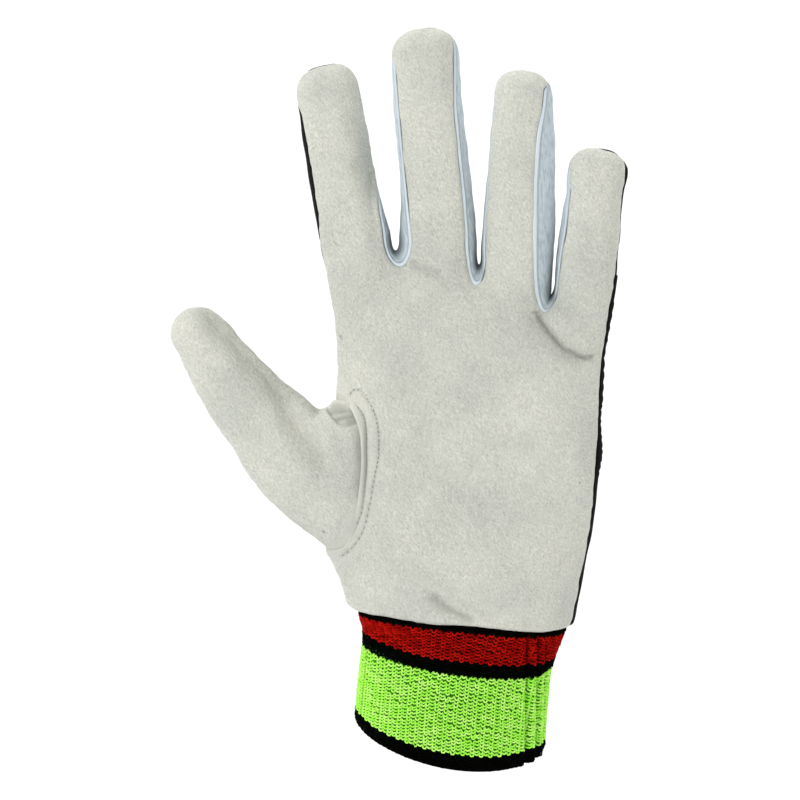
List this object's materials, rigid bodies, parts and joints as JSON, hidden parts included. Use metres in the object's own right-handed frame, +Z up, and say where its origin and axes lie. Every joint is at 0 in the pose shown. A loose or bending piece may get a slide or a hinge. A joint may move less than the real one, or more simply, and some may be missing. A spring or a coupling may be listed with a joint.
{
  "type": "wicketkeeping inner glove",
  "caption": "Left-hand wicketkeeping inner glove with a chamois palm and thumb, black fabric back, pale strips between the fingers and a striped knitted cuff.",
  "frame": {"origin": "centre of the cuff's mouth, where the hand goes in", "axes": "+Z up the hand towards the fingertips, -Y out of the palm, +X towards the little finger"},
  "size_m": [0.1515, 0.0554, 0.25],
  "materials": {
    "chamois_leather": "soft suede, matte",
    "back_fabric": "black stretch knit, matte",
    "strip_fabric": "pale fine knit, matte",
    "cuff_knit": "knitted yarn in black, red and lime stripes"
  },
  "bodies": {
    "root": {"palm_panel": "chamois_leather", "back_panel": "back_fabric", "fourchette_index_middle": "strip_fabric", "fourchette_middle_ring": "strip_fabric", "fourchette_ring_little": "strip_fabric", "thumb": "chamois_leather", "knit_cuff": "cuff_knit"}
  },
  "joints": []
}
